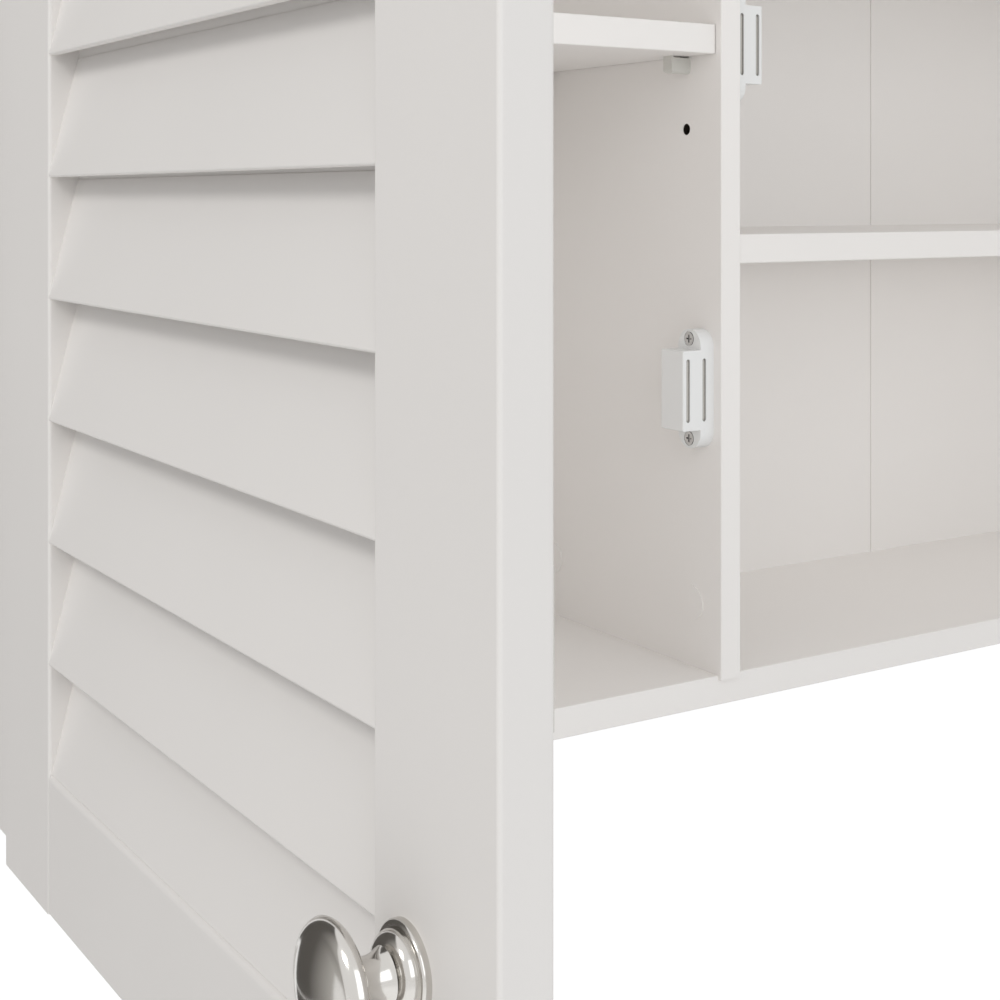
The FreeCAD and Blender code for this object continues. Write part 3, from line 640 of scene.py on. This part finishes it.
def white_plastic():
    """Moulded plastic of the catches."""
    finish = bpy.context.scene.cabinet_finish
    return coated_material("white_plastic", finish.plastic, PLASTIC_ROUGHNESS, **PLASTIC_COAT)


def grey_plastic():
    """Moulded plastic of the shelf pins."""
    finish = bpy.context.scene.cabinet_finish
    return coated_material("grey_plastic", finish.pin_plastic, PIN_ROUGHNESS, **PIN_COAT)


def cover_base(found, mask):
    """Mix node that lays its second colour over a material's base colour where the mask is one."""
    tree = found.node_tree
    shader = tree.nodes["Principled BSDF"]
    below = shader.inputs["Base Color"].links[0].from_socket
    mix = new_node(tree, "ShaderNodeMix", data_type="RGBA")
    tree.links.new(mask, mix.inputs["Factor"])
    tree.links.new(below, mix.inputs["A"])
    tree.links.new(mix.outputs["Result"], shader.inputs["Base Color"])
    return mix


def foiled_hardboard():
    """White foil in front, and bare brown fibreboard on the face that lies against the wall."""
    found = white_foil("foiled_hardboard")
    tree = found.node_tree
    place = new_node(tree, "ShaderNodeTexCoord")
    parts = new_node(tree, "ShaderNodeSeparateXYZ")
    rear = new_node(tree, "ShaderNodeMath", operation="GREATER_THAN")
    rear.inputs[1].default_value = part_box("back_board_left")[1].y - CORE_INSET
    fibre = new_node(tree, "ShaderNodeTexNoise")
    fibre.inputs["Scale"].default_value = 700.0
    fibre.inputs["Detail"].default_value = 6.0
    brown = two_tone_ramp(tree, FIBRE_STOPS, (FIBRE_DARK, FIBRE_LIGHT))
    link = tree.links.new
    link(place.outputs["Object"], parts.inputs[0])
    link(parts.outputs["Y"], rear.inputs[0])
    link(place.outputs["Object"], fibre.inputs["Vector"])
    link(fibre.outputs["Fac"], brown.inputs["Fac"])
    mix = cover_base(found, rear.outputs[0])
    link(brown.outputs["Color"], mix.inputs["B"])
    return found


def painted_board(name):
    """Painted board that shows its raw core inside drilled holes and housings, in a core colour darkened
    to near black as painted shade of the holes.
    """
    finish = bpy.context.scene.cabinet_finish
    found = coated_material(f"paint_{name}", finish.paint, finish.paint_roughness, **PAINT_COAT)
    low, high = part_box(name)
    core = new_node(found.node_tree, "ShaderNodeGroup", node_tree=raw_core_group())
    core.inputs["Low"].default_value = [value + CORE_INSET for value in low]
    core.inputs["High"].default_value = [value - CORE_INSET for value in high]
    mix = cover_base(found, core.outputs["Mask"])
    # Painted shade: the near-black core colour stands for the shade inside the holes as well as the bare
    # board
    mix.inputs["B"].default_value = (*finish.core, 1.0)
    return found


def metal_material(name, colour, roughness, streaks):
    """Brushed or plated metal, painted dark in its slots and corners as painted shade."""
    found, tree, shader = new_material(name)
    shader.inputs["Metallic"].default_value = 1.0
    slot_shade = new_node(tree, "ShaderNodeGroup", node_tree=tarnish_group())
    slot_shade.inputs["Colour"].default_value = (*colour, 1.0)
    slot_shade.inputs["Tarnish"].default_value = (*SLOT_SHADE, 1.0)
    slot_shade.inputs["Reach"].default_value = SLOT_SHADE_REACH
    tree.links.new(slot_shade.outputs["Colour"], shader.inputs["Base Color"])
    brushed = new_node(tree, "ShaderNodeGroup", node_tree=brushed_group())
    brushed.inputs["Roughness"].default_value = roughness
    brushed.inputs["Streak scale"].default_value = streaks
    tree.links.new(brushed.outputs["Roughness"], shader.inputs["Roughness"])
    add_bump(tree, shader, brushed.outputs["Height"], STREAK_BUMP, STREAK_DEPTH)
    return found


def satin_nickel():
    """Nickel of the hinges, strikes and pole plates."""
    finish = bpy.context.scene.cabinet_finish
    return metal_material("satin_nickel", finish.nickel, NICKEL_ROUGHNESS, NICKEL_STREAKS)


def zinc_plate():
    """Zinc of the screws and cams."""
    return metal_material("zinc_plate", ZINC, ZINC_ROUGHNESS, ZINC_STREAKS)


def smeared_metal(name, colour, smears):
    """Bright metal layer whose gloss wavers with faint smears."""
    found, tree, shader = new_material(name)
    shader.inputs["Base Color"].default_value = (*colour, 1.0)
    shader.inputs["Metallic"].default_value = 1.0
    smear = new_node(tree, "ShaderNodeGroup", node_tree=smear_group())
    for socket, value in smears.items():
        smear.inputs[socket].default_value = value
    tree.links.new(smear.outputs["Roughness"], shader.inputs["Roughness"])
    return found


def polished_chrome():
    """Chrome of the knobs with the faint smears that handling leaves."""
    return smeared_metal("polished_chrome", CHROME, CHROME_SMEARS)


def silvered_glass():
    """Mirror: a bright metal layer with a breath of haze."""
    return smeared_metal("silvered_glass", SILVERING, SILVERING_HAZE)


def grain_material(name, dark, light, grain_scale, roughness):
    """Two-tone material with a stretched grain: beech or fired ferrite."""
    found, tree, shader = new_material(name)
    shader.inputs["Roughness"].default_value = roughness
    grain = new_node(tree, "ShaderNodeGroup", node_tree=grain_group())
    grain.inputs["Dark"].default_value = (*dark, 1.0)
    grain.inputs["Light"].default_value = (*light, 1.0)
    grain.inputs["Grain scale"].default_value = grain_scale
    tree.links.new(grain.outputs["Colour"], shader.inputs["Base Color"])
    add_bump(tree, shader, grain.outputs["Height"], GRAIN_BUMP, GRAIN_DEPTH)
    return found


def beech():
    """Beech of the dowels, its grain along the cabinet's width."""
    return grain_material("beech", BEECH_DARK, BEECH_LIGHT, BEECH_GRAIN, BEECH_ROUGHNESS)


def ferrite():
    """Fired ferrite of the magnets."""
    return grain_material("ferrite", FERRITE_DARK, FERRITE_LIGHT, FERRITE_GRAIN, FERRITE_ROUGHNESS)


def dress(names, material):
    """Gives CAD nodes a material in place of their own."""
    for name in names:
        mesh = NODES[name].data
        mesh.materials.clear()
        mesh.materials.append(material)


def shared(make):
    """The material that a function makes, made once."""
    name = make.__name__
    return bpy.data.materials.get(name) or make()


def arc_through(start, middle, end, steps):
    """Points of the circle arc through three points of a flat profile, without its last point.

    The centre is as far from the second and third point as from the first, which gives two equations.
    """
    a, b, c = (np.asarray(p, float) for p in (start, middle, end))
    sides = 2 * np.array([b - a, c - a])
    reach = np.array([b @ b - a @ a, c @ c - a @ a])
    centre = np.linalg.solve(sides, reach)
    radius = np.linalg.norm(a - centre)
    angles = [math.atan2(*(p - centre)[::-1]) for p in (a, b, c)]
    first, mid, last = angles
    turn = 2 * math.pi
    forward = (last - first) % turn
    sweep = forward if (mid - first) % turn <= forward else forward - turn
    along = first + sweep * np.arange(steps) / steps
    return centre + radius * np.column_stack([np.cos(along), np.sin(along)])


def knob_profile(shape):
    """Profile of the knob as radius and height: rosette, waisted neck, mushroom head and dome.

    The dome is the cap of a circle on the axis that runs from the rim to the knob's top.
    """
    arcs = np.array(KNOB_ARCS)
    scale = np.array([shape.head_radius / arcs[:, :, 0].max(), shape.projection / KNOB_TALL])
    rim_radius, rim_height = arcs[-1, -1]
    rise = KNOB_TALL - rim_height
    dome = (rim_radius**2 + rise**2) / (2 * rise)
    half = rim_radius / 2
    dome_middle = (half, KNOB_TALL - dome + math.sqrt(dome**2 - half**2))
    runs = [np.array([(0.0, 0.0), (KNOB_FLANGE, 0.0)])]
    for start, middle, end in arcs:
        runs.append(arc_through(start, middle, end, shape.arc_steps))
        runs.append(end[None])
    runs.append(arc_through(arcs[-1, -1], dome_middle, (0.0, KNOB_TALL), shape.arc_steps)[1:])
    runs.append(np.array([[0.0, KNOB_TALL]]))
    profile = np.vstack(runs)
    repeated = np.r_[False, np.all(np.isclose(profile[1:], profile[:-1]), axis=1)]
    return profile[~repeated] * scale


def turned_mesh(name, profile, centre, axis, turns):
    """Surface of revolution: each profile point's radius swept round the axis, closed at both poles."""
    axis = np.asarray(axis, float)
    side = np.array([0.0, 0.0, 1.0])
    other = np.cross(axis, side)
    angle = 2 * math.pi * np.arange(turns) / turns
    ring = np.outer(np.cos(angle), side) + np.outer(np.sin(angle), other)
    inner = profile[1:-1]
    points = centre + inner[:, 1, None, None] * axis + inner[:, 0, None, None] * ring[None]
    rings = len(inner)
    poles = np.array([centre + profile[0, 1] * axis, centre + profile[-1, 1] * axis])
    vertices = np.vstack([points.reshape(-1, 3), poles])
    row, column = np.meshgrid(np.arange(rings - 1), np.arange(turns), indexing="ij")
    after = (column + 1) % turns
    ring_start = row * turns
    next_start = ring_start + turns
    corners = (ring_start + column, ring_start + after, next_start + after, next_start + column)
    quads = np.stack(corners, axis=-1).reshape(-1, 4)
    around = np.arange(turns)
    following = (around + 1) % turns
    first_pole = np.full(turns, rings * turns)
    fan_low = np.column_stack([first_pole, following, around])
    last_ring = (rings - 1) * turns
    fan_high = np.column_stack([first_pole + 1, last_ring + around, last_ring + following])
    mesh = bpy.data.meshes.new(name)
    mesh.from_pydata(vertices.tolist(), [], quads.tolist() + fan_low.tolist() + fan_high.tolist())
    work = bmesh.new()
    work.from_mesh(mesh)
    bmesh.ops.recalc_face_normals(work, faces=work.faces)
    work.to_mesh(mesh)
    work.free()
    mesh.shade_smooth()
    mesh.set_sharp_from_angle(angle=SHARP_EDGE)
    return mesh


class CABINET_OT_paint_carcass(Operator):
    """Paint the boards, shelves and back of the carcass"""

    bl_idname = "cabinet.paint_carcass"
    bl_label = "Paint carcass"

    def execute(self, context):
        for name in CARCASS_BOARDS + SHELVES:
            dress((name,), painted_board(name))
        dress(BACK_BOARDS, shared(foiled_hardboard))
        dress(("back_joint_strip",), shared(board_foil))
        return {"FINISHED"}


class CABINET_OT_dress_louvred_door(Operator):
    """Paint the frame and slats of the louvred door"""

    bl_idname = "cabinet.dress_louvred_door"
    bl_label = "Dress louvred door"

    def execute(self, context):
        dress(LOUVRE_FRAME, shared(satin_paint))
        dress(SLATS, shared(satin_paint))
        dress(("louvre_backing",), shared(satin_paint))
        return {"FINISHED"}


class CABINET_OT_dress_mirror_door(Operator):
    """Paint the mirror door's frame and silver its glass"""

    bl_idname = "cabinet.dress_mirror_door"
    bl_label = "Dress mirror door"

    def execute(self, context):
        dress(MIRROR_FRAME, shared(satin_paint))
        dress(("mirror_backing",), shared(board_foil))
        dress(("mirror_glass",), shared(silvered_glass))
        return {"FINISHED"}


class CABINET_OT_turn_knobs(Operator):
    """Turn the chrome knobs of both doors"""

    bl_idname = "cabinet.turn_knobs"
    bl_label = "Turn knobs"

    def execute(self, context):
        shape = context.scene.cabinet_knob
        profile = knob_profile(shape)
        for door, outward in (("louvre", -1.0), ("mirror", 1.0)):
            low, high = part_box(f"{door}_knob")
            foot_x = high.x if outward < 0 else low.x
            centre = np.array([foot_x, (low.y + high.y) / 2, (low.z + high.z) / 2])
            mesh = turned_mesh(f"{door}_turned_knob", profile, centre, (outward, 0.0, 0.0), shape.turns)
            mesh.materials.append(shared(polished_chrome))
            knob = bpy.data.objects.new(mesh.name, mesh)
            context.scene.collection.objects.link(knob)
            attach(knob, f"{door}_door")
            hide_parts(f"{door}_knob")
        return {"FINISHED"}


class CABINET_OT_dress_metalwork(Operator):
    """Finish the hinges, strikes, pole plates and screws"""

    bl_idname = "cabinet.dress_metalwork"
    bl_label = "Dress metalwork"

    def execute(self, context):
        dress(HINGES, shared(satin_nickel))
        dress(STRIKES, shared(satin_nickel))
        dress(SCREWS, shared(zinc_plate))
        return {"FINISHED"}


class CABINET_OT_dress_fittings(Operator):
    """Finish the catches, caps, pins, magnets and dowels"""

    bl_idname = "cabinet.dress_fittings"
    bl_label = "Dress fittings"

    def execute(self, context):
        dress(("catch_housings",), shared(white_plastic))
        dress(("cover_caps",), shared(board_foil))
        dress(("shelf_pins",), shared(grey_plastic))
        dress(DOWELS, shared(beech))
        dress(("catch_magnets",), shared(ferrite))
        return {"FINISHED"}


def pale_floor():
    """Pale floor that looks white to the camera and in reflections and still takes a shadow."""
    found, tree, shader = new_material("pale_floor")
    shader.inputs["Base Color"].default_value = (*FLOOR_COLOUR, 1.0)
    shader.inputs["Roughness"].default_value = FLOOR_ROUGHNESS
    shader.inputs["Emission Color"].default_value = (*NEUTRAL, 1.0)
    rays = new_node(tree, "ShaderNodeLightPath")
    tree.links.new(white_rays(tree, rays, FLOOR_GLOW), shader.inputs["Emission Strength"])
    return found


def white_rays(tree, rays, strength):
    """Strength for rays from the camera and for reflected and transmitted rays, and none for the rest."""
    seen = new_node(tree, "ShaderNodeMath", operation="MAXIMUM")
    tree.links.new(rays.outputs["Is Camera Ray"], seen.inputs[0])
    tree.links.new(rays.outputs["Is Glossy Ray"], seen.inputs[1])
    through = new_node(tree, "ShaderNodeMath", operation="MAXIMUM")
    tree.links.new(seen.outputs[0], through.inputs[0])
    tree.links.new(rays.outputs["Is Transmission Ray"], through.inputs[1])
    scaled = new_node(tree, "ShaderNodeMath", operation="MULTIPLY")
    tree.links.new(through.outputs[0], scaled.inputs[0])
    scaled.inputs[1].default_value = strength
    return scaled.outputs[0]


def studio_world(strength):
    """Even studio light, seen as plain white by the camera."""
    world = bpy.data.worlds.new("studio")
    world.use_nodes = True
    tree = world.node_tree
    tree.nodes.clear()
    rays = new_node(tree, "ShaderNodeLightPath")
    light = new_node(tree, "ShaderNodeBackground")
    light.inputs["Color"].default_value = (*NEUTRAL, 1.0)
    light.inputs["Strength"].default_value = strength
    seen = new_node(tree, "ShaderNodeBackground")
    seen.inputs["Color"].default_value = (*NEUTRAL, 1.0)
    mix = new_node(tree, "ShaderNodeMixShader")
    out = new_node(tree, "ShaderNodeOutputWorld")
    link = tree.links.new
    link(white_rays(tree, rays, 1.0), mix.inputs["Fac"])
    link(light.outputs[0], mix.inputs[1])
    link(seen.outputs[0], mix.inputs[2])
    link(mix.outputs[0], out.inputs["Surface"])
    return world


def plane_mesh(name, centre, across, up, size):
    """Flat rectangle: its centre plus and minus half its size along two directions."""
    centre, across, up = (np.asarray(v, float) for v in (centre, across, up))
    corner_signs = np.array([(-1, -1), (1, -1), (1, 1), (-1, 1)], float)
    reach = corner_signs * np.asarray(size) / 2
    corners = centre + np.outer(reach[:, 0], across) + np.outer(reach[:, 1], up)
    mesh = bpy.data.meshes.new(name)
    mesh.from_pydata(corners.tolist(), [], [(0, 1, 2, 3)])
    return mesh


def card_fade_group():
    """Card fade: pale at the left end of a card and dark at its right end, by the distance along it."""
    found = bpy.data.node_groups.get("CardFade")
    if found:
        return found
    tree, given, out = new_group(
        "CardFade",
        [("Middle", "NodeSocketVector", (0.0, 0.0, 0.0)), ("Half width", "NodeSocketFloat", 1.0)],
        [("Colour", "NodeSocketColor")],
    )
    link = tree.links.new
    place = new_node(tree, "ShaderNodeTexCoord")
    offset = new_node(tree, "ShaderNodeVectorMath", operation="SUBTRACT")
    link(place.outputs["Object"], offset.inputs[0])
    link(given.outputs["Middle"], offset.inputs[1])
    along = new_node(tree, "ShaderNodeVectorMath", operation="DOT_PRODUCT")
    along.inputs[1].default_value = CARD_ACROSS
    link(offset.outputs[0], along.inputs[0])
    left_end = new_node(tree, "ShaderNodeMath", operation="MULTIPLY")
    left_end.inputs[1].default_value = -1.0
    link(given.outputs["Half width"], left_end.inputs[0])
    share = new_node(tree, "ShaderNodeMapRange")
    link(along.outputs["Value"], share.inputs["Value"])
    link(left_end.outputs[0], share.inputs["From Min"])
    link(given.outputs["Half width"], share.inputs["From Max"])
    fade = two_tone_ramp(tree, CARD_STOPS, (CARD_PALE, CARD_DARK))
    link(share.outputs["Result"], fade.inputs["Fac"])
    link(fade.outputs["Color"], out.inputs["Colour"])
    return tree


def dark_card(name, centre, up, size):
    """Studio card that only reflections see, dark on its right and fading to pale on its left."""
    mesh = plane_mesh(name, centre, CARD_ACROSS, up, size)
    found, tree, shader = new_material(name)
    shader.inputs["Roughness"].default_value = 1.0
    fade = new_node(tree, "ShaderNodeGroup", node_tree=card_fade_group())
    fade.inputs["Middle"].default_value = centre
    fade.inputs["Half width"].default_value = size[0] / 2
    tree.links.new(fade.outputs["Colour"], shader.inputs["Base Color"])
    mesh.materials.append(found)
    card = bpy.data.objects.new(name, mesh)
    bpy.context.scene.collection.objects.link(card)
    card.visible_camera = False
    card.visible_diffuse = False
    card.visible_shadow = False


def area_lamp(name, offset, facing, size, power, colour, in_reflections):
    """Panel lamp at an offset from the middle of the carcass, turned to face a direction."""
    lamp = bpy.data.lights.new(name, "AREA")
    lamp.shape = "RECTANGLE"
    lamp.size, lamp.size_y = size
    lamp.energy = power
    lamp.color = colour
    low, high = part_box("left_side")
    middle = Vector((0.0, (low.y + high.y) / 2, (low.z + high.z) / 2))
    made = bpy.data.objects.new(name, lamp)
    made.location = middle + Vector(offset)
    made.rotation_euler = Vector(facing).to_track_quat("-Z", "Y").to_euler()
    made.visible_camera = False
    made.visible_glossy = in_reflections
    bpy.context.scene.collection.objects.link(made)


class CABINET_OT_set_stage(Operator):
    """Set the camera, the floor and the light"""

    bl_idname = "cabinet.set_stage"
    bl_label = "Set stage"

    def execute(self, context):
        scene = context.scene
        stage = scene.cabinet_stage
        scene.view_settings.view_transform = "Standard"
        scene.world = studio_world(stage.sky)

        lens = bpy.data.cameras.new("photo_camera")
        lens.sensor_width = SENSOR_WIDTH
        lens.lens = stage.lens
        lens.shift_y = stage.horizon_shift
        lens.clip_start = NEAREST_SEEN
        camera = bpy.data.objects.new("photo_camera", lens)
        camera.location = (
            CARCASS_LEFT - stage.camera_left,
            CARCASS_FRONT - stage.camera_front,
            UNDERSIDE + stage.camera_height,
        )
        camera.rotation_euler = (math.pi / 2, 0.0, -stage.camera_turn)
        scene.collection.objects.link(camera)
        scene.camera = camera

        floor_height = UNDERSIDE - stage.floor_drop
        floor_middle = (*FLOOR_CENTRE, floor_height)
        floor_mesh = plane_mesh("floor", floor_middle, (1, 0, 0), (0, 1, 0), (FLOOR_SPAN, FLOOR_SPAN))
        floor_mesh.materials.append(pale_floor())
        floor = bpy.data.objects.new("floor", floor_mesh)
        scene.collection.objects.link(floor)

        for name, offset, facing, size, colour, in_reflections in LAMPS:
            area_lamp(name, offset, facing, size, getattr(stage, name), colour, in_reflections)
        low_card_middle = (*LOW_CARD_PLACE, floor_height + CARD_ABOVE_FLOOR)
        dark_card("card_left", LEFT_CARD_PLACE, UPWARDS, LEFT_CARD_SIZE)
        dark_card("card_low", low_card_middle, CARD_BACK, LOW_CARD_SIZE)
        return {"FINISHED"}


class CABINET_PT_builder(Panel):
    """Sizes, colours and steps of the mirror cabinet"""

    bl_label = "Mirror cabinet"
    bl_space_type = "VIEW_3D"
    bl_region_type = "UI"
    bl_category = "Cabinet"

    def draw(self, context):
        layout = self.layout
        for group_name in GROUPS:
            group = getattr(context.scene, group_name)
            box = layout.box()
            for name in group.__annotations__:
                box.prop(group, name)
        for step in STEPS:
            layout.operator(step.bl_idname)


STEPS = (
    CABINET_OT_set_stage,
    CABINET_OT_paint_carcass,
    CABINET_OT_dress_louvred_door,
    CABINET_OT_dress_mirror_door,
    CABINET_OT_turn_knobs,
    CABINET_OT_dress_metalwork,
    CABINET_OT_dress_fittings,
)
GROUPS = {"cabinet_finish": CabinetFinish, "cabinet_knob": KnobShape, "cabinet_stage": CabinetStage}


def register():
    """Registers the groups of values, the steps and the panel."""
    for group in GROUPS.values():
        bpy.utils.register_class(group)
    for name, group in GROUPS.items():
        setattr(bpy.types.Scene, name, PointerProperty(type=group))
    for cls in (*STEPS, CABINET_PT_builder):
        bpy.utils.register_class(cls)


def unregister():
    """Takes back what register did, in the other order."""
    for cls in (CABINET_PT_builder, *reversed(STEPS)):
        bpy.utils.unregister_class(cls)
    for name in GROUPS:
        delattr(bpy.types.Scene, name)
    for group in GROUPS.values():
        bpy.utils.unregister_class(group)


def main():
    """Runs every step."""
    register()
    bpy.ops.cabinet.set_stage()
    bpy.ops.cabinet.paint_carcass()
    bpy.ops.cabinet.dress_louvred_door()
    bpy.ops.cabinet.dress_mirror_door()
    bpy.ops.cabinet.turn_knobs()
    bpy.ops.cabinet.dress_metalwork()
    bpy.ops.cabinet.dress_fittings()


if __name__ == "__main__":
    main()
